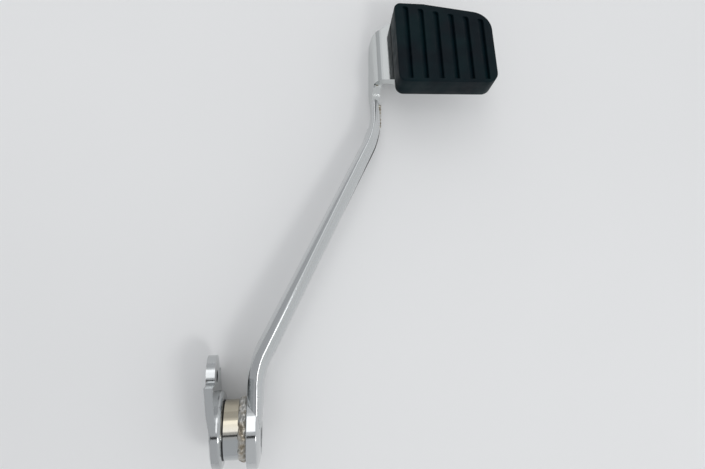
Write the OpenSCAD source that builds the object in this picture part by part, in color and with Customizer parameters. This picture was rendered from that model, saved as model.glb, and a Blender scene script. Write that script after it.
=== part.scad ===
// Foot brake pedal of a motorcycle: a long cranked arm on a short pivot hub, with a lever
// plate on the hub's inner end and a ribbed rubber pad on a bent bracket at the arm's tip.
// X runs along the pivot axis, outward. Y runs along the arm, from the hub to the pad.
// The pedal lies with its pad facing up, and the origin is the centre of the pivot bore.

/* [Hub] */
// Outer diameter of the hub tube
tube_d = 35; // [32:0.5:38]
// Diameter of the arm's eye
eye_d = 46.6; // [44:0.2:50]
// X of the eye's inner face
eye_in = 10.6; // [9:0.1:12]
// Thickness of the eye up to the start of its crown
eye_t = 5.6; // [4:0.1:7]
// Height of the crown on the eye's outer face
crown_h = 3.7; // [2:0.1:5]
// Outer diameter of the pivot collar
collar_d = 22; // [20:0.5:24]
// Bore of the pivot collar, for a 14 mm pivot bolt
collar_bore = 14.2; // [12:0.1:15]
// X of the collar's inner end
collar_in = -10.9; // [-11.4:0.1:-10.8]
// X of the collar's outer end
collar_out = 19.2; // [17:0.1:20]
// Radial running clearance between collar and bushings
run_gap = 0.05; // [0.02:0.01:0.1]

/* [Lever] */
// Height of the push rod hole above the pivot
rod_y = 32.8; // [28:0.1:38]
// Diameter of the push rod hole
rod_hole_d = 7.2; // [6:0.1:9]
// Half width of the lever plate beside the hub
lever_half = 21.6; // [20:0.1:23]
// Radius of the lever's round upper end
lug_r = 12.6; // [10:0.1:14]
// Thickness of the lever at its upper end
lug_t = 5.2; // [4:0.1:6]
// Y of the stop shoulder on the lever's front edge
shoulder_y = 32.2; // [30:0.2:34]

/* [Arm] */
// X of the arm's front ridge beside the hub
low_x = 16.3; // [15:0.1:18]
// X of the arm's front ridge at its tip
tip_x = 91; // [80:0.5:100]
// Y where the two straight lines of the lower bend would meet
bend_y = 40.8; // [38:0.2:50]
// Lean of the middle stretch
lean = 27; // [20:0.5:32]
// Centreline radius of the lower bend
low_bend_r = 42; // [30:1:60]
// Centreline radius of the upper bend
top_bend_r = 50; // [30:1:60]
// Y of the arm's tip
tip_y = 207; // [204:0.5:210]
// Half depth of the arm at the hub
deep_half = 20; // [16:0.5:21]
// Half depth of the arm at the tip
tip_half = 8.5; // [8:0.5:11]
// Z of the arm's centreline at the tip
tip_z = -12; // [-14:0.2:-11]

/* [Bracket and pad] */
// Lean of the pad's face away from the arm's plane
pad_tilt = 15; // [10:1:20]
// Turn of the pad's face towards the hub side
pad_turn = 3.9; // [0:0.1:6]
// Plate thickness of the bracket
bracket_t = 5; // [4:0.2:6]
// Width of the rubber pad
pad_w = 62.4; // [60:0.2:66]
// Length of the rubber pad along its left side
pad_l = 56; // [52:0.5:60]
// Thickness of the rubber pad
pad_t = 15.6; // [14:0.2:17]
// Number of grooves in the pad
grooves = 6; // [4:1:8]
// Width of a groove
groove_w = 3; // [2:0.2:4]
// Depth of a groove
groove_d = 3; // [2:0.2:4]

/* [Hidden] */
$fn = 96;
EPS = 0.01;
tube_r = tube_d / 2;
eye_r = eye_d / 2;
floor_z = -eye_r;
bore_r = 14;
bush_r = bore_r - 0.02;
collar_r = collar_d / 2;
spigot_r = 16;
seam_x = -3.4;
tube_in = -2.6;
tube_out = 14;
crown_x = eye_in + eye_t;
eye_out = crown_x + crown_h;
// X of the lever's inner face at its foot and at its round top, and of its outer face there
foot_in = -10.1;
lug_in = -12.8;
lug_out = lug_in + lug_t;
foot_out = -4;
spigot_in = -9.2;
weld_in = spigot_in - 0.9;
seal_t = 1.3;
fitting_r = 2.35;
recess_x = 15.6;
recess_r = 15.4;
flange_r = 13.4;
flange_t = 1.5;
groove_x = 16.9;
low_start = bend_y - low_bend_r * tan(lean / 2);
top_y = bend_y + (tip_x - low_x) / tan(lean);
top_end = top_y + top_bend_r * tan(lean / 2);
// The pad frame: its origin lies on the bracket's front face, under the pad's lower left corner
frame_x = 102.6;
frame_y = 208.2;
frame_z = 5.8;
stud_r = 3;
stud_u = [17, 45];
stud_v = 28;
flange_low = 10.6;
flange_high = 52.8;
// The leg's inner face, the fold that joins it to the flange, and the arm's half lap
leg_x = 90.9;
bend_r = 4.5;
fold_u = (leg_x - frame_x + bend_r * (1 - sin(pad_turn))) / cos(pad_turn);
fillet_r = 3;
lap_y = 189;
lap_z = -10;
lever_foot_r = eye_r - 0.9;

// ---- helpers ----

// Turns a shape made along Z so that it lies along X
module along_x() {
    rotate([0, 90, 0]) children();
}

// A ring about the pivot axis, from x0 to x1
module ring(outer, inner, x0, x1) {
    translate([x0, 0, 0]) along_x() difference() {
        cylinder(r = outer, h = x1 - x0);
        translate([0, 0, -1]) cylinder(r = inner, h = x1 - x0 + 2);
    }
}

// A solid drum about the pivot axis
module drum(r, x0, x1) {
    translate([x0, 0, 0]) along_x() cylinder(r = r, h = x1 - x0);
}

// A flat outline drawn in (Y, Z), made solid from x0 to x1
module side_plate(x0, x1) {
    translate([x0, 0, 0]) rotate([90, 0, 90]) linear_extrude(height = x1 - x0) children();
}

// Moves a shape into the pad frame: x across the pad, y up the pad, z out of its face
module pad_frame() {
    translate([frame_x, frame_y, frame_z]) rotate([-pad_tilt, 0, 0])
        rotate([0, -pad_turn, 0]) children();
}

// A box with four rounded upright edges
module slab(w, l, t, r) {
    linear_extrude(height = t) union() {
        translate([r, 0]) square([w - 2 * r, l]);
        translate([0, r]) square([w, l - 2 * r]);
        for (x = [r, w - r], y = [r, l - r]) translate([x, y]) circle(r = r);
    }
}

// ---- arm ----

// Cross-section of the arm: flat inner side, bevelled front and back, crowned outer side
function crown_points(h, crown) =
    [for (a = [-90 : 15 : 90]) [crown * cos(a), h * sin(a)]];
function section(h, inner, crown, bevel) = concat(
    crown_points(h, crown),
    [[-inner, h - bevel], [-inner, bevel - h]]
);

// Half depth and centre height of the arm at a given Y
function arm_half(y) = deep_half + (tip_half - deep_half) * pow(y / tip_y, 0.85);
function arm_z(y) = tip_z * pow(y / tip_y, 1.35);

// Stations along the arm's front ridge: X, Y, lean, inner width, crown height
low_mid = [low_x + low_bend_r * (1 - cos(lean / 2)), low_start + low_bend_r * sin(lean / 2)];
low_end = [low_x + low_bend_r * (1 - cos(lean)), low_start + low_bend_r * sin(lean)];
top_mid = [tip_x - top_bend_r * (1 - cos(lean / 2)), top_end - top_bend_r * sin(lean / 2)];
top_start = [tip_x - top_bend_r * (1 - cos(lean)), top_end - top_bend_r * sin(lean)];
STATIONS = [
    [low_x, 6, 0, 5.2, 3.4],
    [low_x, low_start, 0, 5.2, 4.6],
    [low_mid[0], low_mid[1], lean / 2, 4.4, 6],
    [low_end[0], low_end[1], lean, 3.8, 7.2],
    [top_start[0], top_start[1], lean, 2.2, 6.8],
    [top_mid[0], top_mid[1], lean / 2, 1.6, 6.2],
    [tip_x, top_end, 0, 1.4, 5],
    [tip_x, tip_y, 0, 1.2, 2.4]
];

// The section of one station, turned by its lean and set in place
function placed(s) = [
    for (p = section(arm_half(s[1]), s[3], s[4], 4.4))
        [s[0] + p[0] * cos(s[2]), s[1] - p[0] * sin(s[2]), arm_z(s[1]) + p[1]]
];

// The arm's bar: one skin through all its stations
module arm_bar() {
    rings = [for (s = STATIONS) placed(s)];
    n = len(rings[0]);
    last = (len(rings) - 1) * n;
    polyhedron(
        points = [for (r = rings, p = r) p],
        faces = concat(
            [[for (i = [0 : n - 1]) n - 1 - i]],
            [[for (i = [0 : n - 1]) last + i]],
            [for (k = [0 : len(rings) - 2], i = [0 : n - 1], half = [0, 1])
                let (a = k * n + i, b = k * n + (i + 1) % n)
                half == 0 ? [a, b, b + n] : [a, b + n, a + n]]
        )
    );
}

// The eye: a short drum with a crowned outer face
module eye() {
    drum(eye_r, eye_in, crown_x);
    translate([crown_x, 0, 0]) along_x() rotate_extrude()
        polygon(concat([[0, -0.5], [eye_r, -0.5]],
            [for (a = [0 : 9 : 90]) [eye_r * cos(a), crown_h * sin(a)]]));
}

module pedal_arm() {
    color("silver") difference() {
        union() {
            eye();
            arm_bar();
        }
        drum(tube_r + 0.02, eye_in - 5, tube_out);
        drum(bore_r, eye_in - 5, recess_x + 1);
        drum(recess_r, recess_x, eye_out + 1);
        // half lap in the tip, for the bracket's tab
        translate([leg_x - 20, lap_y, floor_z - 5]) cube([40, 40, lap_z - floor_z + 5]);
    }
}

// ---- hub ----

// The grease fitting stands on the tube's hidden underside
module fitting_place() {
    rotate([135, 0, 0]) translate([1.8, 0, 0]) children();
}

module hub_tube() {
    color("gainsboro") difference() {
        union() {
            drum(tube_r, tube_in, tube_out);
            drum(spigot_r, spigot_in, tube_in + 1);
        }
        drum(bore_r, spigot_in - 1, tube_out + 1);
        fitting_place() cylinder(r = fitting_r + 0.05, h = tube_r + 1);
    }
}

// Bead round the joint of tube and eye
module hub_weld() {
    bead_r = 2.6;
    bead_x = eye_in - 1.7;
    color("tan") difference() {
        translate([bead_x, 0, 0]) along_x() rotate_extrude()
            translate([tube_r - 0.9, 0]) circle(r = bead_r);
        drum(tube_r + 0.02, bead_x - 5, eye_in + 5);
        drum(eye_r, eye_in - 0.02, eye_in + 5);
    }
}

// Black ring that fills the seam between lever and tube
module seam_seal() {
    color("black") ring(tube_r, spigot_r + 0.02, seam_x, tube_in);
}

// ---- lever plate ----

// Side outline of the lever: round foot, straight edges, stop shoulder and round top
module lever_outline() {
    intersection() {
        union() {
            circle(r = lever_foot_r);
            translate([0, -lever_half]) square([shoulder_y, 2 * lever_half]);
        }
        translate([-lever_foot_r, -lever_half])
            square([lever_foot_r + shoulder_y, 2 * lever_half]);
    }
    translate([0, -lug_r]) square([rod_y, 2 * lug_r]);
    translate([rod_y, 0]) circle(r = lug_r);
}

// Front view of the lever in (X, Y): thin and set inward at the top, thick at the foot
module lever_wedge() {
    translate([0, 0, -30]) linear_extrude(height = 60) polygon([
        [foot_in, -25], [foot_out, -25], [foot_out, -20],
        [lug_out, 25], [lug_out, 50], [lug_in, 50],
        [lug_in, 34], [lug_in + 1.3, 16], [foot_in, 8]
    ]);
}

// Round boss that meets the tube, with a rolled shoulder
module lever_boss() {
    boss_r = 22.4;
    translate([foot_in, 0.5, 0]) along_x() rotate_extrude() polygon([
        [0, 0], [boss_r, 0], [boss_r, 3.9], [boss_r - 0.3, 4.9], [boss_r - 1.2, 5.8],
        [boss_r - 2.8, 6.4], [boss_r - 4.2, seam_x - foot_in], [0, seam_x - foot_in]
    ]);
}

module lever_plate() {
    rim = 4.8;
    color("silver") difference() {
        union() {
            intersection() {
                side_plate(lug_in, seam_x) lever_outline();
                lever_wedge();
            }
            lever_boss();
        }
        // bevel round the foot's inner rim
        difference() {
            translate([lug_in, -30, -30]) cube([foot_in + rim - lug_in, 27, 60]);
            translate([foot_in, 0, 0]) along_x()
                cylinder(r1 = lever_foot_r - rim, r2 = lever_foot_r + 0.6, h = rim);
        }
        drum(spigot_r + 0.02, weld_in, 0);
        drum(bore_r + 0.4, lug_in - 1, 0);
        translate([lug_in - 1, rod_y, 0]) along_x() cylinder(r = rod_hole_d / 2, h = 12);
    }
}

// Fillet weld in the lever's counterbore, on the end of the tube's spigot
module lever_weld() {
    color("tan") ring(spigot_r, bore_r + 0.5, weld_in, spigot_in);
}

// ---- bearings and collar ----

module inboard_bushing() {
    color("goldenrod") ring(bush_r, collar_r + run_gap, spigot_in + seal_t, 1);
}

module outboard_bushing() {
    color("goldenrod") ring(bush_r, collar_r + run_gap, 5.5, recess_x - seal_t);
}

module inboard_seal() {
    color("black") ring(bush_r, collar_r + run_gap, spigot_in, spigot_in + seal_t);
}

module outboard_seal() {
    color("black") ring(bush_r, collar_r + run_gap, recess_x - seal_t, recess_x - 0.1);
}

module grease_fitting() {
    hex_z = tube_r + 0.3;
    neck_z = hex_z + 2;
    tip_at = neck_z + 1.2;
    color("silver") fitting_place() {
        translate([0, 0, bore_r + 0.8]) cylinder(r = fitting_r, h = tube_r - bore_r);
        translate([0, 0, hex_z]) cylinder(r = 3.6, h = 2, $fn = 6);
        translate([0, 0, neck_z]) cylinder(r1 = 1.9, r2 = 1.4, h = 1.2);
        translate([0, 0, tip_at]) sphere(r = 1.7);
    }
}

module pivot_collar() {
    color("dimgray") difference() {
        union() {
            drum(collar_r, collar_in, collar_out);
            drum(flange_r, collar_in, collar_in + flange_t);
        }
        drum(collar_bore / 2, collar_in - 1, collar_out + 1);
        ring(collar_r + 1, collar_r - 0.9, groove_x, groove_x + 1.2);
    }
}

module thrust_washer() {
    color("goldenrod") ring(recess_r - 0.3, collar_r + 0.03, recess_x + 0.05, groove_x - 0.05);
}

module snap_ring() {
    color("dimgray") difference() {
        ring(collar_r + 1.6, collar_r - 0.85, groove_x + 0.05, groove_x + 1.15);
        translate([groove_x - 1, -1.6, 0]) cube([4, 3.2, 20]);
    }
}

// ---- bracket ----

// Side outline of the leg in (Y, Z): it stands on the floor line and carries a tab for the arm
module leg_outline() {
    polygon([
        [lap_y + 1, lap_z], [lap_y + 2, -13.5], [200, -15], [206, -18], [211, -22],
        [216, floor_z], [250, floor_z], [258, -22], [262, -18],
        [263, 10], [219, 10], [218.6, 0], [217, -5], [213, -8.8], [207, lap_z]
    ]);
}

// Everything on or below the bracket's slanted top edge, in the pad frame
module top_trim() {
    translate([0, 0, -60]) linear_extrude(height = 80) polygon([
        [-60, -60], [80, -60], [80, flange_high], [-0.6, flange_high],
        [-6.8, flange_high - 4.7], [-11.5, flange_high - 7.4],
        [-12.6, flange_high - 11], [-60, flange_high - 11]
    ]);
}

// The plate under the pad, in the pad frame
module flange() {
    translate([0, 0, -bracket_t]) linear_extrude(height = bracket_t) polygon([
        [fold_u, flange_low], [50, flange_low], [56, 16], [56, 38], [49, 45],
        [6, flange_high], [fold_u, flange_high]
    ]);
}

// Rounded outer corner between flange and leg, and the fillet inside it
module fold() {
    run = flange_high - flange_low;
    translate([fold_u, flange_low, -bend_r]) rotate([-90, 0, 0]) cylinder(r = bend_r, h = run);
    u = fold_u - bend_r + bracket_t;
    translate([u, flange_low, -bracket_t]) rotate([-90, 0, 0]) difference() {
        translate([-1, -1, 0]) cube([fillet_r + 1, fillet_r + 1, run]);
        translate([fillet_r, fillet_r, -1]) cylinder(r = fillet_r, h = run + 2);
    }
}

// The leg, cut off where the fold begins
module leg() {
    intersection() {
        side_plate(leg_x, leg_x + bracket_t) leg_outline();
        pad_frame() translate([-60, -60, -bend_r - 60]) cube([160, 160, 60]);
    }
}

module pad_bracket() {
    color("silver") difference() {
        intersection() {
            union() {
                pad_frame() flange();
                pad_frame() fold();
                leg();
            }
            pad_frame() top_trim();
        }
        pad_frame() for (u = stud_u) translate([u, stud_v, -10])
            cylinder(r = stud_r + 0.3, h = 20);
    }
}

// Weld along the joint of arm and tab
module bracket_weld() {
    color("tan") difference() {
        for (i = [0 : 6]) translate([leg_x + bracket_t - 0.3, lap_y + 2 + i * 2.2, lap_z])
            sphere(r = 1.3, $fn = 20);
        pedal_arm();
        leg();
    }
}

// ---- pad ----

module pad_plate() {
    color("gray") pad_frame() difference() {
        translate([4, 5, 0]) slab(pad_w - 9, pad_l - 15, 2, 4);
        for (u = stud_u) translate([u, stud_v, -1]) cylinder(r = stud_r, h = 4);
    }
}

module pad_studs() {
    color("silver") pad_frame() for (u = stud_u) translate([u, stud_v, -12])
        cylinder(r = stud_r, h = 14);
}

module pad_washers() {
    color("silver") pad_frame() for (u = stud_u)
        translate([u, stud_v, -bracket_t - 1]) difference() {
            cylinder(r = 6, h = 1);
            translate([0, 0, -1]) cylinder(r = stud_r + 0.1, h = 3);
        }
}

module pad_nuts() {
    color("silver") pad_frame() for (u = stud_u)
        translate([u, stud_v, -bracket_t - 6]) difference() {
            cylinder(r = 5.77, h = 5, $fn = 6);
            translate([0, 0, -1]) cylinder(r = stud_r, h = 7);
        }
}

// Outline of the pad: slanted top edge and a large outer upper corner
module pad_outline() {
    hull() {
        translate([5, 5]) circle(r = 5, $fn = 32);
        translate([pad_w - 7, 7]) circle(r = 7, $fn = 32);
        translate([4, pad_l - 4]) circle(r = 4, $fn = 32);
        translate([18, pad_l - 4.3]) circle(r = 4, $fn = 32);
        translate([pad_w - 13, 38]) circle(r = 13, $fn = 48);
    }
}

module rubber_pad() {
    pitch = 9.63;
    first = 8.6;
    color("darkslategray") pad_frame() difference() {
        linear_extrude(height = pad_t) pad_outline();
        translate([4 - EPS, 5 - EPS, -1])
            slab(pad_w - 9 + 2 * EPS, pad_l - 15 + 2 * EPS, 3, 4);
        for (i = [0 : grooves - 1])
            translate([first + i * pitch - groove_w, 2.2, pad_t - groove_d])
                cube([groove_w, 50.6 - 1.6 * i, groove_d + 1]);
    }
}

pedal_arm();
hub_tube();
hub_weld();
lever_plate();
lever_weld();
seam_seal();
inboard_bushing();
outboard_bushing();
inboard_seal();
outboard_seal();
grease_fitting();
pivot_collar();
thrust_washer();
snap_ring();
pad_bracket();
bracket_weld();
pad_plate();
pad_studs();
pad_washers();
pad_nuts();
rubber_pad();
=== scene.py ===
import random
from math import acos, atan2, cos, degrees, pi, radians, sin, sqrt, tan

import bmesh
import bpy
from mathutils import Matrix, Vector
from mathutils.noise import noise as noise_at


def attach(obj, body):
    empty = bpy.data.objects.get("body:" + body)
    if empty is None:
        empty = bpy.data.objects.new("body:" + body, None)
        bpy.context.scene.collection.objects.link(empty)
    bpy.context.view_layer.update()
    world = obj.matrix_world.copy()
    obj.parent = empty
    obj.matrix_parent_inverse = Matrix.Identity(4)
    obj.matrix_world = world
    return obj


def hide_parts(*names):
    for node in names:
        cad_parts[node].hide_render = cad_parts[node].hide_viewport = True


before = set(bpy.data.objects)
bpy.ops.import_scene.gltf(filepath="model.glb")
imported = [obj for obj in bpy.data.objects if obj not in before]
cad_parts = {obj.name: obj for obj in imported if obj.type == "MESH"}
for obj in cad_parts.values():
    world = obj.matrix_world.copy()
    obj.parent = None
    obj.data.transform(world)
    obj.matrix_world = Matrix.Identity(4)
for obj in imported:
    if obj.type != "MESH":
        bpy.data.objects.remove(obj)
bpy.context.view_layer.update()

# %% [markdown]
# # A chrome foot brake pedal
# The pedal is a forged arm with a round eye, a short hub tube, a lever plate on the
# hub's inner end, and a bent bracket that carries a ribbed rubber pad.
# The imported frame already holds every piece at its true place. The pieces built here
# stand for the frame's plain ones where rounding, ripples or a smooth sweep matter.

MM = 0.001
TURN_STEPS = 128                          # facets round a turned piece
TUBE_R, EYE_R, BORE_R = 17.5, 23.3, 14.0
FLOOR_Z = -23.3


def ring_of(bm, points):
    return [bm.verts.new(p) for p in points]


def bridge(bm, one, two):
    """Quads between two closed rings of equal count."""
    n = len(one)
    for i in range(n):
        bm.faces.new((one[i], one[(i + 1) % n], two[(i + 1) % n], two[i]))


def loft(bm, rings):
    for one, two in zip(rings, rings[1:]):
        bridge(bm, one, two)


def revolve(bm, profile, y0=0.0):
    """Closed profile of (x, r) turned fully about the X line at y = y0."""
    verts = ring_of(bm, [(x, y0 + r, 0) for x, r in profile])
    n = len(verts)
    edges = [bm.edges.new((verts[i], verts[(i + 1) % n])) for i in range(n)]
    bmesh.ops.spin(bm, geom=verts + edges, cent=(0, y0, 0), axis=(1, 0, 0),
                   steps=TURN_STEPS, angle=2 * pi, use_merge=True)


def arc(cx, cy, r, a0, a1, steps):
    """Points on a circle, angles in degrees."""
    return [(cx + r * cos(radians(a0 + (a1 - a0) * i / steps)),
             cy + r * sin(radians(a0 + (a1 - a0) * i / steps))) for i in range(steps + 1)]


def make(name, bm, material, nodes, sharp, bevel=None, body="pedal"):
    """Turns a bmesh drawn in millimetres into a piece that stands for the frame's nodes.

    Edges over the sharp angle, in degrees, stay crisp; bevel is in millimetres.
    """
    bmesh.ops.remove_doubles(bm, verts=bm.verts, dist=0.001)
    bmesh.ops.dissolve_degenerate(bm, dist=0.0005, edges=bm.edges)
    bmesh.ops.scale(bm, vec=(MM, MM, MM), verts=bm.verts)
    bmesh.ops.recalc_face_normals(bm, faces=bm.faces)
    open_edges = sum(1 for e in bm.edges if len(e.link_faces) != 2)
    mesh = bpy.data.meshes.new(name)
    bm.to_mesh(mesh)
    bm.free()
    for poly in mesh.polygons:
        poly.use_smooth = True
    mesh.set_sharp_from_angle(angle=radians(sharp))
    piece = bpy.data.objects.new(name, mesh)
    bpy.context.scene.collection.objects.link(piece)
    mesh.materials.append(material)
    if bevel:
        mod = piece.modifiers.new("rolled edges", "BEVEL")
        mod.width = bevel * MM
        mod.segments = 3
        mod.limit_method = "ANGLE"
        mod.angle_limit = radians(40)
        mod.harden_normals = True
    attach(piece, body)
    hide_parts(*nodes)
    print(name, "faces", len(mesh.polygons), "open edges", open_edges,
          "size mm", [round(d / MM, 1) for d in piece.dimensions])


# %% [markdown]
# ## Materials
# Plated steel is a metal with a very smooth surface. A faint noise in its roughness and
# a shallow bump break up the reflections the way polishing marks do.
# Everything is painted in object coordinates, so that it stays put on the moving pedal.

# %% Material helpers
def material(name, colour, metallic, roughness):
    mat = bpy.data.materials.new(name)
    mat.use_nodes = True
    shader = mat.node_tree.nodes["Principled BSDF"]
    shader.inputs["Base Color"].default_value = (*colour, 1)
    shader.inputs["Metallic"].default_value = metallic
    shader.inputs["Roughness"].default_value = roughness
    return mat, mat.node_tree, shader


def noise(tree, scale, detail=3.0):
    coords = tree.nodes.new("ShaderNodeTexCoord")
    node = tree.nodes.new("ShaderNodeTexNoise")
    node.inputs["Scale"].default_value = scale
    node.inputs["Detail"].default_value = detail
    tree.links.new(coords.outputs["Object"], node.inputs["Vector"])
    return node.outputs["Fac"]


def spread(tree, value, low, high):
    """Maps a noise value onto a range."""
    node = tree.nodes.new("ShaderNodeMapRange")
    node.inputs["From Min"].default_value = 0.3
    node.inputs["From Max"].default_value = 0.7
    node.inputs["To Min"].default_value = low
    node.inputs["To Max"].default_value = high
    tree.links.new(value, node.inputs["Value"])
    return node.outputs["Result"]


def tint(tree, value, stops):
    """A colour ramp; stops are (place, colour)."""
    ramp = tree.nodes.new("ShaderNodeValToRGB")
    ramp.color_ramp.elements[0].position, first = stops[0]
    ramp.color_ramp.elements[0].color = (*first, 1)
    ramp.color_ramp.elements[1].position, last = stops[-1]
    ramp.color_ramp.elements[1].color = (*last, 1)
    for place, colour in stops[1:-1]:
        ramp.color_ramp.elements.new(place).color = (*colour, 1)
    tree.links.new(value, ramp.inputs["Fac"])
    return ramp.outputs["Color"]


def bump(tree, shader, value, strength, distance):
    node = tree.nodes.new("ShaderNodeBump")
    node.inputs["Strength"].default_value = strength
    node.inputs["Distance"].default_value = distance
    tree.links.new(value, node.inputs["Height"])
    tree.links.new(node.outputs["Normal"], shader.inputs["Normal"])


def plated(name, colour, rough_low, rough_high):
    """Bright plating: roughness wanders a little and the surface is very slightly wavy."""
    mat, tree, shader = material(name, colour, 1.0, rough_low)
    tree.links.new(spread(tree, noise(tree, 60), rough_low, rough_high),
                   shader.inputs["Roughness"])
    bump(tree, shader, noise(tree, 90, 2.0), 0.04, 0.0004)
    return mat


# %% Metals
CHROME = plated("chrome", (0.62, 0.635, 0.64), 0.09, 0.15)
CHROME_BRACKET = plated("bracket chrome", (0.64, 0.66, 0.655), 0.07, 0.11)
CHROME_LEVER = plated("lever chrome", (0.52, 0.535, 0.54), 0.1, 0.16)
ZINC = plated("zinc plate", (0.55, 0.57, 0.58), 0.3, 0.45)
COLLAR = plated("ground collar", (0.4, 0.41, 0.42), 0.22, 0.35)
SPRING = plated("black spring steel", (0.06, 0.062, 0.065), 0.35, 0.5)
BRONZE = plated("oiled bronze", (0.5, 0.34, 0.14), 0.3, 0.45)

# %% [markdown]
# ## The tube's metal, with painted shade and a painted reflection on one side
# The tube has turning marks that run round it: the noise is read from a vector that is
# stretched on the pivot axis, so it changes fast along the tube and slowly round it.
# Its side towards the pad is painted darker and straw-coloured by Y: painted shade and a
# painted warm reflection of the lights. The other side is plain bright metal. One metal
# with a ramp is simpler than two with a mask.

# %% Nickel tube
ALONG, ROUND = 3000, 12
NICKEL, tree, shader = material("nickel tube", (0.6, 0.56, 0.47), 1.0, 0.2)
coords = tree.nodes.new("ShaderNodeTexCoord")
squeeze = tree.nodes.new("ShaderNodeVectorMath")
squeeze.operation = "MULTIPLY"
squeeze.inputs[1].default_value = (ALONG, ROUND, ROUND)
tree.links.new(coords.outputs["Object"], squeeze.inputs[0])
marks = tree.nodes.new("ShaderNodeTexNoise")
marks.inputs["Scale"].default_value = 1.0
tree.links.new(squeeze.outputs["Vector"], marks.inputs["Vector"])
tree.links.new(spread(tree, marks.outputs["Fac"], 0.08, 0.16), shader.inputs["Roughness"])
parts = tree.nodes.new("ShaderNodeSeparateXYZ")
tree.links.new(coords.outputs["Object"], parts.inputs["Vector"])
# Reads Y across the tube to paint shade and a warm reflection on its side towards the pad
painted_side_shade = tree.nodes.new("ShaderNodeMapRange")
painted_side_shade.inputs["From Min"].default_value = -TUBE_R * MM
painted_side_shade.inputs["From Max"].default_value = TUBE_R * MM
tree.links.new(parts.outputs["Y"], painted_side_shade.inputs["Value"])
# The darker, straw-coloured stops at high Y are painted shade and painted reflection, not the
# metal's own colour
tree.links.new(tint(tree, painted_side_shade.outputs["Result"],
                    [(0.0, (0.5, 0.52, 0.53)), (0.5, (0.48, 0.5, 0.505)),
                     (0.62, (0.52, 0.5, 0.45)), (0.72, (0.5, 0.47, 0.395)),
                     (0.8, (0.5, 0.46, 0.37)), (1.0, (0.46, 0.42, 0.335))]),
               shader.inputs["Base Color"])
bump(tree, shader, marks.outputs["Fac"], 0.05, 0.0002)

# %% [markdown]
# ## Weld metal and rubbers
# Weld metal is patchy: dark oxide, straw and bare silver, so one noise drives a ramp of
# the three. The rubbers are near black, a little blue or green in places, and dull.

# %% Weld metal, with heat tint
WELD, tree, shader = material("weld", (0.45, 0.4, 0.35), 0.9, 0.35)
tree.links.new(tint(tree, noise(tree, 190, 3.0),
                    [(0.3, (0.1, 0.08, 0.06)), (0.43, (0.42, 0.37, 0.29)),
                     (0.56, (0.6, 0.59, 0.56))]),
               shader.inputs["Base Color"])
tree.links.new(spread(tree, noise(tree, 240), 0.22, 0.5), shader.inputs["Roughness"])
bump(tree, shader, noise(tree, 700, 3.0), 0.35, 0.0004)

# %% Rubbers
RUBBER, tree, shader = material("pad rubber", (0.005, 0.008, 0.01), 0.0, 0.5)
tree.links.new(tint(tree, noise(tree, 55, 2.0),
                    [(0.35, (0.0020, 0.0062, 0.0098)), (0.5, (0.0014, 0.0084, 0.0120)),
                     (0.65, (0.0010, 0.0106, 0.0138))]),
               shader.inputs["Base Color"])
tree.links.new(spread(tree, noise(tree, 140), 0.42, 0.62), shader.inputs["Roughness"])
shader.inputs["Specular IOR Level"].default_value = 0.12
bump(tree, shader, noise(tree, 1500, 2.0), 0.12, 0.0002)

SEAL, tree, shader = material("seal rubber", (0.006, 0.006, 0.007), 0.0, 0.45)
tree.links.new(spread(tree, noise(tree, 200), 0.4, 0.55), shader.inputs["Roughness"])
shader.inputs["Specular IOR Level"].default_value = 0.25

# %% [markdown]
# ## The pieces kept from the frame
# Rings, seals, bushings and fasteners are plain turned shapes, so the frame's own solids
# are shown as they are. They only need their finishes.

# %% Finish the frame's own pieces
FINISH = {
    "hub_tube": NICKEL, "lever_weld": WELD, "seam_seal": SEAL, "inboard_bushing": BRONZE,
    "outboard_bushing": BRONZE, "inboard_seal": SEAL, "outboard_seal": SEAL,
    "grease_fitting": ZINC, "pivot_collar": COLLAR, "thrust_washer": BRONZE,
    "snap_ring": SPRING, "pad_plate": ZINC, "pad_studs": ZINC, "pad_washers": ZINC,
    "pad_nuts": ZINC, "pedal_arm": CHROME, "hub_weld": WELD, "lever_plate": CHROME_LEVER,
    "pad_bracket": CHROME_BRACKET, "bracket_weld": WELD, "rubber_pad": RUBBER,
}
for node, mat in FINISH.items():
    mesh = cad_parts[node].data
    mesh.materials.clear()
    mesh.materials.append(mat)

# %% [markdown]
# ## The arm
# A forged bar: flat on its hub side, crowned on the outer side, with two bevels that
# meet in a rounded ridge along its front. The section is swept along two straights and
# two bends, and it slims towards the tip. A box with bevels could be bent to the same
# path, but a sweep keeps the long highlights unbroken and lets the section change.

# %% Arm measures
LOW_X, TIP_X, BEND_Y, LEAN = 16.3, 91.0, 40.8, 27.0
LOW_R, TOP_R = 42.0, 50.0                 # radius of the low and the top bend
TIP_Y = 207.0
LAP_Y, LAP_Z = 189.0, -10.0               # past LAP_Y the back is cut flat at LAP_Z
HUB_HALF, SLIMS_BY, TIP_SINKS = 20, 11.5, 12
NOSE_OUT, NOSE_IN = 1.4, 1.0
LOW_START = BEND_Y - LOW_R * tan(radians(LEAN / 2))
TOP_END = BEND_Y + (TIP_X - LOW_X) / tan(radians(LEAN)) + TOP_R * tan(radians(LEAN / 2))
INNER = [(30, 5.2), (40, 4.5), (50, 3.8), (175, 2.2), (187, 1.6), (207, 1.3)]
CROWN = [(6, 3.4), (30, 4.6), (40, 6.0), (50, 7.2), (175, 6.8), (187, 6.2), (199, 5.0),
         (207, 3.6)]


def blend(stations, y):
    """Straight-line reading between (y, value) stations."""
    for (y0, v0), (y1, v1) in zip(stations, stations[1:]):
        if y <= y1:
            t = max(0.0, (y - y0) / (y1 - y0))
            return v0 + (v1 - v0) * t
    return stations[-1][1]


def arm_half(y):
    """Half the arm's depth."""
    return HUB_HALF - SLIMS_BY * (y / TIP_Y) ** 0.85


def arm_z(y):
    """Height of the arm's middle."""
    return -TIP_SINKS * (y / TIP_Y) ** 1.35


def nose(r, half):
    """One side of the rounded ridge; a negative radius gives the hub side."""
    return [(r * sin(radians(a)), half - abs(r) * (1 - cos(radians(a)))) for a in (10, 20, 30, 40)]


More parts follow.
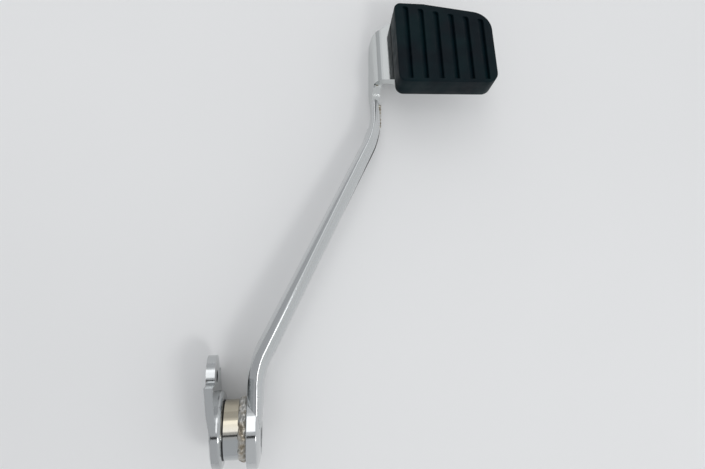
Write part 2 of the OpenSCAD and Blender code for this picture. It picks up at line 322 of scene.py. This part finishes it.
def arm_section(y):
    """Rounded outline (across, depth) in two runs of equal length, front ridge to back ridge."""
    half = arm_half(y)
    inner, crown = blend(INNER, y), blend(CROWN, y)
    slope, drop = 0.62 * crown, 0.52 * crown
    outer_run = nose(min(NOSE_OUT, 0.33 * crown), half)
    outer_run += [(slope * 0.6, half - drop * 0.55), (slope, half - drop)]
    for a in (20, 40, 60, 80):
        outer_run.append((slope + (crown - slope) * sin(radians(a)),
                          half - drop - 1.5 * crown * (1 - cos(radians(a)))))
    low = outer_run[-1][1]
    outer_run += [(crown, low * (1 - k / 4)) for k in range(1, 4)]
    flat = 0.75 * inner
    inner_run = nose(-min(NOSE_IN, 0.45 * inner), half)
    inner_run += [(-inner * 0.5, half - flat * 0.45), (-inner + 0.45, half - flat + 0.2),
                  (-inner + 0.08, half - flat - 0.25)]
    deep = half - flat - 0.9
    inner_run += [(-inner, deep * (1 - k / 6)) for k in range(6)]
    both = []
    for run in (outer_run, inner_run):
        both.append(run + [(run[-1][0], 0.0)] + [(x, -z) for x, z in reversed(run)])
    return both


def arm_stations():
    """(x, y, lean) along the ridge."""
    out = [(LOW_X, y, 0.0) for y in (START_Y, 10, 14, 18, 22, 26)]
    for i in range(13):
        a = LEAN * i / 12
        out.append((LOW_X + LOW_R * (1 - cos(radians(a))), LOW_START + LOW_R * sin(radians(a)), a))
    x1, y1 = TIP_X - TOP_R * (1 - cos(radians(LEAN))), TOP_END - TOP_R * sin(radians(LEAN))
    x0, y0, _ = out[-1]
    out += [(x0 + (x1 - x0) * i / 25, y0 + (y1 - y0) * i / 25, LEAN) for i in range(1, 25)]
    for i in range(13):
        a = LEAN * (1 - i / 12)
        out.append((TIP_X - TOP_R * (1 - cos(radians(a))), TOP_END - TOP_R * sin(radians(a)), a))
    return out + [(TIP_X, 202, 0.0), (TIP_X, ROUND_Y, 0.0)]


# %% Sweep the arm
START_Y, START_R = 6, 16.2                # the first ring hugs the hub inside the eye
ROUND_Y, ROUND_L = 204.4, 3.4             # the tip is rounded over the last ROUND_L
ROUND_X, ROUND_Z = 0.8, -7
LAP_GAP = 0.02
bm = bmesh.new()
rings = []
for x, y, lean in arm_stations():
    front, back = arm_section(y)
    for lapped in ([False, True] if abs(y - LAP_Y) < 1.6 else [y > LAP_Y]):
        points = []
        for across, depth in front + list(reversed(back)):
            z = arm_z(y) + depth
            py = y - across * sin(radians(lean))
            if y == START_Y:
                py = max(y, sqrt(max(0.0, START_R ** 2 - z * z)))
            points.append((x + across * cos(radians(lean)), py,
                           max(z, LAP_Z + LAP_GAP) if lapped else z))
        rings.append(ring_of(bm, points))
front, back = arm_section(ROUND_Y)
for t in (0.5, 0.8, 0.95):
    shrink = sqrt(1 - t * t)
    rings.append(ring_of(bm, [
        (TIP_X + ROUND_X + (across - ROUND_X) * shrink, ROUND_Y + ROUND_L * t,
         ROUND_Z + (max(arm_z(ROUND_Y) + depth, LAP_Z + LAP_GAP) - ROUND_Z) * (0.35 + 0.65 * shrink))
        for across, depth in front + list(reversed(back))]))
loft(bm, rings)
half_count = len(rings[0]) // 2
for ring in (rings[0], rings[-1]):
    for i in range(half_count - 1):
        j = len(ring) - 1 - i
        bm.faces.new((ring[i], ring[i + 1], ring[j - 1], ring[j]))

# %% Turn the eye
EYE_IN, EYE_OUT, EYE_CROWN, EYE_EDGE = 10.6, 16.2, 3.7, 0.5
RECESS_X, RECESS_R, TUBE_END, TUBE_FIT = 15.6, 15.4, 14, 0.05
eye = [(EYE_IN, TUBE_R + TUBE_FIT), (EYE_IN, EYE_R - EYE_EDGE)]
eye += arc(EYE_IN + EYE_EDGE, EYE_R - EYE_EDGE, EYE_EDGE, 180, 90, 4)[1:]
eye += [(EYE_IN + EYE_EDGE + 0.2, EYE_R), (EYE_OUT - 0.2, EYE_R)]
eye += [(EYE_OUT + EYE_CROWN * sin(radians(a)), EYE_R * cos(radians(a))) for a in range(0, 49, 4)]
eye += [(RECESS_X, RECESS_R), (RECESS_X, BORE_R), (TUBE_END, BORE_R), (TUBE_END, TUBE_R + TUBE_FIT)]
revolve(bm, eye)
make("forged_arm", bm, CHROME, ["pedal_arm"], sharp=24)

# %% [markdown]
# ## The weld round the hub
# A hand-laid bead joins tube and eye. It is a ring of overlapping puddles: the bead's
# radius rises and falls in slanted scales, each scale differs a little, and the bead is
# fuller on the eye's side. Real ripples in the mesh catch the light at the bead's edge,
# which a bump in the material would not.

# %% Rippled weld bead
random.seed(7)
SCALES, STEPS, AROUND = 31, 12, 22
BEAD_X, BEAD_HALF, BEAD_H, BEAD_SUNK = 8.15, 2.5, 1.9, 0.5
puddle = [(random.uniform(0.78, 1.1), random.uniform(-0.6, 0.45)) for _ in range(SCALES)]
bm = bmesh.new()
rings = []
for step in range(SCALES * STEPS):
    turn = 2 * pi * step / (SCALES * STEPS)
    ring = []
    for k in range(AROUND):
        swing = pi * k / (AROUND - 1)
        place = (step / STEPS + 0.9 * sin(swing)) % SCALES
        size, shift = puddle[int(place) % SCALES]
        x = BEAD_X + shift * sin(swing) + BEAD_HALF * cos(swing)
        grain = Vector((x, TUBE_R * cos(turn), TUBE_R * sin(turn)))
        crest = size * (0.9 + 0.1 * abs(sin(pi * (place % 1.0))) ** 0.6)
        crest += 0.26 * noise_at(grain * 0.45) + 0.2 * noise_at(grain * 1.2)
        r = TUBE_R - BEAD_SUNK + BEAD_H * crest * (1 + 0.4 * cos(swing)) * sin(swing) ** 0.8
        x += 0.5 * noise_at(grain * 0.4 + Vector((9, 0, 0)))
        ring.append((min(x, EYE_IN - 0.05), r * cos(turn), r * sin(turn)))
    rings.append(ring_of(bm, ring))
loft(bm, rings + rings[:1])
make("weld_bead", bm, WELD, ["hub_weld"], sharp=60)

# %% [markdown]
# ## The lever plate
# A thick plate cut to a side outline: a round foot, a stop shoulder and a round top
# with the push rod hole. It is thin and set inward at the top and thick at the foot.
# The outline is filled flat, cut where its faces bend, then pushed out to both faces.

# %% Fill and cut the lever plate
SHOULDER_Y, LEVER_HALF, FOOT_R = 32.2, 21.6, 22.4
ROD_Y, ROD_R, LUG_R = 32.8, 3.6, 12.6
SPIGOT_R, SEAM_X = 16.05, -3.4
FOOT_IN, LUG_IN, LUG_OUT, FOOT_OUT = -10.1, -12.8, -7.6, -4.0
FOOT_ROUND = 3.8


def flat_fill(bm, loops):
    """Fills a plane figure: the first loop is the outline, the others are holes."""
    edges = []
    for points in loops:
        ring = ring_of(bm, points)
        edges += [bm.edges.new((ring[i], ring[(i + 1) % len(ring)])) for i in range(len(ring))]
    bmesh.ops.triangle_fill(bm, use_beauty=True, use_dissolve=False, edges=edges)


foot_a = 90 + degrees(atan2(sqrt(FOOT_R ** 2 - LEVER_HALF ** 2), LEVER_HALF))
outline = arc(0, 0, FOOT_R, foot_a, 360 - foot_a, 64)
shoulder = [(SHOULDER_Y, LEVER_HALF), (SHOULDER_Y - 0.6, LUG_R + 2.5), (SHOULDER_Y + 0.4, LUG_R)]
outline += [(y, -z) for y, z in shoulder]
outline += arc(ROD_Y, 0, LUG_R, -86, 86, 48)
outline += list(reversed(shoulder))
bm = bmesh.new()
flat_fill(bm, [[(0, y, z) for y, z in outline],
               [(0, y, z) for y, z in arc(0, 0, SPIGOT_R, 0, 355, 71)],
               [(0, y, z) for y, z in arc(ROD_Y, 0, ROD_R, 0, 345, 23)]])
for y in (-20, 8, 16, 25, 34):
    bmesh.ops.bisect_plane(bm, geom=bm.verts[:] + bm.edges[:] + bm.faces[:],
                           plane_co=(0, y, 0), plane_no=(0, 1, 0))
far = bmesh.ops.extrude_face_region(bm, geom=bm.faces[:])
moved = {v for v in far["geom"] if isinstance(v, bmesh.types.BMVert)}
for v in bm.verts:
    y, z = v.co.y, v.co.z
    radius = sqrt(y * y + z * z)
    if v in moved:
        v.co.x = blend([(-20, FOOT_OUT), (25, LUG_OUT)], y)
    else:
        v.co.x = blend([(8, FOOT_IN), (16, LUG_IN + 1.3), (34, LUG_IN)], y)
        if y < -3 and radius > FOOT_R - 1:
            v.co.x += min(FOOT_ROUND, 0.42 * (-3 - y))

# %% Add its boss
profile = [(FOOT_IN + 0.3, SPIGOT_R), (FOOT_IN + 0.3, 20.5), (-9.0, 22.3), (-5.6, 22.5)]
profile += arc(-5.4, 20.3, 2.2, 88, -20, 9)
profile += [(SEAM_X, 18.6), (SEAM_X, SPIGOT_R)]
revolve(bm, profile, y0=0.5)
make("lever", bm, CHROME_LEVER, ["lever_plate"], sharp=12, bevel=0.7)

# %% [markdown]
# ## The pad bracket
# One plate bent once: a flange that lies under the pad and a leg that runs down to the
# arm's tip. It is drawn as sheet metal, column by column across the bend, each column
# with its own low and high end, on both skins.

# %% Bracket measures
TILT, TURN = radians(15), radians(3.9)
PAD_CORNER = Vector((102.6, 208.2, 5.8))
PAD_AT = Matrix.Translation(PAD_CORNER) @ Matrix.Rotation(-TILT, 4, "X") \
    @ Matrix.Rotation(-TURN, 4, "Y")
LEG_X, BEND_R, SHEET, FLANGE_LOW = 90.9, 5.4, 5.0, 10.6
FOLD_U = (LEG_X - PAD_CORNER.x + BEND_R * (1 - sin(TURN))) / cos(TURN)
leg_low = [(4.5, 10.9), (8.2, 10.9), (10.5, 9.9), (12.9, 8.0), (14.6, 5.4), (15.7, 2.4),
           (17.4, -3.6), (20, -13.4), (22.9, -11.8), (23.2, -2.6), (23.8, 4.4), (25.4, 9.2),
           (26.4, 14)]
leg_high = [(4.5, 45.6), (13, 46), (17.3, 45.6), (20, 38), (26.4, 16)]
flange_low_edge = [(FOLD_U, FLANGE_LOW), (50, FLANGE_LOW), (54, 13), (56, 16)]
flange_high_edge = [(FOLD_U, 48.1), (-0.6, 52.8), (6, 52.8), (49, 45), (54, 41.5),
                    (56, 38)]
ROWS = 9
down = Vector((0, -sin(TILT), -cos(TILT)))
fold_line = Vector((0, cos(TILT), -sin(TILT)))


def sheet_column(outer, inward, low, high):
    """Points of both skins for one column; outer(v) gives the outer skin."""
    steps = [low + (high - low) * k / (ROWS - 1) for k in range(ROWS)]
    skin = [outer(v) for v in steps]
    return skin, [p + inward * SHEET for p in skin]


def leg_point(d):
    """Outer skin of the leg, d below the pad's back."""
    start = Vector((LEG_X, PAD_CORNER.y, PAD_CORNER.z)) + down * d
    return lambda v: start + fold_line * v


def fold_point(a, inward):
    """Outer skin of the bend, a little flatter than round at its middle."""
    centre, r = Vector((FOLD_U, 0, -BEND_R)), BEND_R * (1 - 0.1 * sin(2 * a))
    return lambda v: PAD_AT @ (centre + Vector((0, v, 0))) - inward * r


# %% Bend the bracket
FOLD_STEPS, FOLD_ANGLE, LEG_BREAK = 8, radians(86), 17.3
columns = []
for d in sorted({k for k, _ in leg_low} | {LEG_BREAK}, reverse=True)[:-1]:
    columns.append(sheet_column(leg_point(d), Vector((1, 0, 0)),
                                blend(leg_low, d), blend(leg_high, d)))
for i in range(FOLD_STEPS + 1):
    t = i / FOLD_STEPS
    a = FOLD_ANGLE * t
    inward = PAD_AT.to_3x3() @ Vector((cos(a + TURN), 0, -sin(a + TURN)))
    columns.append(sheet_column(fold_point(a, inward), inward, 10.8 - 0.2 * t, 45.6 + 2.5 * t))
flat_in = PAD_AT.to_3x3() @ Vector((0, 0, -1))
for u in (FOLD_U, -3.5, -0.6, 6, 20, 35, 49, 50, 54, 56):
    columns.append(sheet_column(lambda v, u=u: PAD_AT @ Vector((u, v, 0)), flat_in,
                                blend(flange_low_edge, u), blend(flange_high_edge, u)))
bm = bmesh.new()
rings = [ring_of(bm, skin + list(reversed(back))) for skin, back in columns]
loft(bm, rings)
for ring in (rings[0], rings[-1]):
    for i in range(ROWS - 1):
        bm.faces.new((ring[i], ring[i + 1], ring[-2 - i], ring[-1 - i]))
make("bracket", bm, CHROME_BRACKET, ["pad_bracket"], sharp=30, bevel=0.6)

# %% [markdown]
# ## The rubber pad
# A moulded block with a slanted top edge, a rolled rim and six upright grooves. Each
# groove is a ramp: level with the face on its left, deep along its right wall, and
# closed at its upper end. The same outline, drawn a little smaller each time, gives the
# rolled rim, and the face is filled round the grooves.

# %% Pad outline and grooves
PAD_W, PAD_L, PAD_T, ROLL = 62.4, 56.0, 15.6, 1.2
GROOVES, PITCH, FIRST, RAMP, GROOVE_D = 6, 9.63, 8.6, 4.0, 2.1
GROOVE_LOW, GROOVE_HIGH, HIGH_STEP, SOFT = 1.8, 53.0, 1.6, 0.35
CORNERS = [(5, 5, 5), (PAD_W - 7, 7, 7), (PAD_W - 13, 38, 13), (18, PAD_L - 4.3, 4),
           (4, PAD_L - 4, 4)]                 # (u, v, radius) of each corner


def pad_outline(inset):
    """The taut outline round the corner circles, drawn inset."""
    n = len(CORNERS)
    turns = []
    for i in range(n):
        (x0, y0, r0), (x1, y1, r1) = CORNERS[i], CORNERS[(i + 1) % n]
        span = sqrt((x1 - x0) ** 2 + (y1 - y0) ** 2)
        turns.append(atan2(y1 - y0, x1 - x0) - acos((r0 - r1) / span))
    points = []
    for i, (cx, cy, r) in enumerate(CORNERS):
        a0, a1 = turns[i - 1], turns[i]
        while a1 < a0:
            a1 += 2 * pi
        for k in range(11):
            a = a0 + (a1 - a0) * k / 10
            points.append((cx + (r - inset) * cos(a), cy + (r - inset) * sin(a)))
    return points


def groove_rings(i):
    """Ramped slot: level with the face on its left side, deep along its right wall."""
    right, low, high = FIRST + i * PITCH, GROOVE_LOW, GROOVE_HIGH - HIGH_STEP * i
    left = right - RAMP
    edge, wall = [], []
    plan = [(right, low), (right, high - 1.1), (right - 0.35, high - 0.35), (right - 1.1, high),
            (left + 1.4, high), (left + 0.4, high - 0.4), (left, high - 1.4), (left, low)]
    for u, v in plan:
        du, dv = (SOFT if u > right - 0.3 else 0), (SOFT if v > high - 0.3 else 0)
        edge.append((u + du, v + dv, PAD_T))
        wall.append((u, v, PAD_T - 0.3 if u > left + 0.1 else PAD_T - 0.02))
    floor = [(u - (0.15 if u > right - 0.3 else 0), v,
              PAD_T - 0.05 - GROOVE_D * (u - left) / RAMP) for u, v in plan]
    return edge, wall, floor


# %% Mould the pad
def pad_ring(bm, points):
    """A ring given in the pad's own measures."""
    return ring_of(bm, [PAD_AT @ Vector(p) for p in points])


def ring_edges(bm, ring):
    return [bm.edges.get((ring[i], ring[(i + 1) % len(ring)])) for i in range(len(ring))]


bm = bmesh.new()
walls = [(0.6, 0.0), (0.15, 0.25), (0.0, 0.8), (0.0, 5.0), (0.0, 10.0)]
walls += [(ROLL - ROLL * cos(radians(a)), PAD_T - ROLL + ROLL * sin(radians(a)))
          for a in range(0, 91, 15)]
rings = [pad_ring(bm, [(u, v, w) for u, v in pad_outline(inset)]) for inset, w in walls]
loft(bm, rings)
face_edges = ring_edges(bm, rings[-1])
for i in range(GROOVES):
    groove = [pad_ring(bm, points) for points in groove_rings(i)]
    loft(bm, groove)
    bm.faces.new(groove[-1])
    face_edges += ring_edges(bm, groove[0])
bmesh.ops.triangle_fill(bm, use_beauty=True, use_dissolve=False, edges=face_edges)
RECESS = [(3.99, 4.99), (57.41, 4.99), (57.41, 46.01), (3.99, 46.01)]
RECESS_D = 2.01                           # the moulded-in plate sits in this recess
lip, seat = [pad_ring(bm, [(u, v, w) for u, v in RECESS]) for w in (0, RECESS_D)]
bridge(bm, lip, seat)
bm.faces.new(seat)
base_edges = ring_edges(bm, rings[0]) + ring_edges(bm, lip)
bmesh.ops.triangle_fill(bm, use_beauty=True, use_dissolve=False, edges=base_edges)
make("tread_pad", bm, RUBBER, ["rubber_pad"], sharp=40)

# %% [markdown]
# ## Studio
# The pedal lies on a plain pale floor under an even, pale sky that is a little darker on
# the hub's side. A wide panel lights the bracket, a long narrow one gives the hub its
# bright band, and a small one draws the thin light line along the arm's ridge. A dark
# card beside them puts a dark line next to the hub's band: a light band with a dark
# line along it is what tells polished metal from paint.

# %% Floor and sky
FLOOR_GAP = 0.0002
bpy.ops.mesh.primitive_plane_add(size=6, location=(0.05, 0.12, FLOOR_Z * MM - FLOOR_GAP))
floor = bpy.context.object
floor.name = "floor"
FLOOR, tree, shader = material("pale floor", (0.9, 0.9, 0.9), 0.0, 0.9)
tree.links.new(tint(tree, noise(tree, 4), [(0.3, (0.89, 0.89, 0.89)), (0.7, (0.91, 0.91, 0.91))]),
               shader.inputs["Base Color"])
floor.data.materials.append(FLOOR)

world = bpy.data.worlds.new("studio")
bpy.context.scene.world = world
world.use_nodes = True
tree = world.node_tree
sky = tree.nodes["Background"]
sky.inputs["Strength"].default_value = 1.0
coords = tree.nodes.new("ShaderNodeTexCoord")
split = tree.nodes.new("ShaderNodeSeparateXYZ")
tree.links.new(coords.outputs["Generated"], split.inputs["Vector"])
side = tree.nodes.new("ShaderNodeMapRange")
side.inputs["From Min"].default_value = -1.0
side.inputs["From Max"].default_value = 1.0
tree.links.new(split.outputs["X"], side.inputs["Value"])
tree.links.new(tint(tree, side.outputs["Result"],
                    [(0.0, (0.45, 0.46, 0.475)), (0.42, (0.59, 0.6, 0.615)),
                     (1.0, (0.72, 0.735, 0.745))]),
               sky.inputs["Color"])


# %% Soft lights and the dark card
def softbox(name, location, size, watts):
    """A rectangular light that faces straight down."""
    light = bpy.data.lights.new(name, "AREA")
    light.shape = "RECTANGLE"
    light.size, light.size_y = size
    light.energy = watts
    lamp = bpy.data.objects.new(name, light)
    bpy.context.scene.collection.objects.link(lamp)
    lamp.location = location


softbox("wide panel", (0.1, 1.1, 0.8), (1.8, 0.9), 1.2)
softbox("hub panel", (-0.12, 0.59, 0.77), (0.34, 0.88), 0.98)
softbox("ridge light", (0.43, -0.175, 0.8), (0.24, 0.21), 1.2)

CARD, tree, shader = material("dark card", (0.01, 0.01, 0.01), 0.0, 0.9)
bpy.ops.mesh.primitive_plane_add(size=1, location=(-0.1, -0.045, 0.79))
card = bpy.context.object
card.name = "dark_card"
card.scale = (0.3, 0.1, 1)
card.data.materials.append(CARD)

# %% Camera
camera_data = bpy.data.cameras.new("camera")
camera_data.lens = 24.51
camera_data.sensor_width = 36
camera = bpy.data.objects.new("camera", camera_data)
camera.location = (0.0272, 0.1192, 0.3021)
camera.rotation_euler = (0, radians(-9.17), 0)
camera_data.clip_start = 0.01
bpy.context.scene.collection.objects.link(camera)
bpy.context.scene.camera = camera
bpy.context.scene.view_settings.view_transform = "Standard"
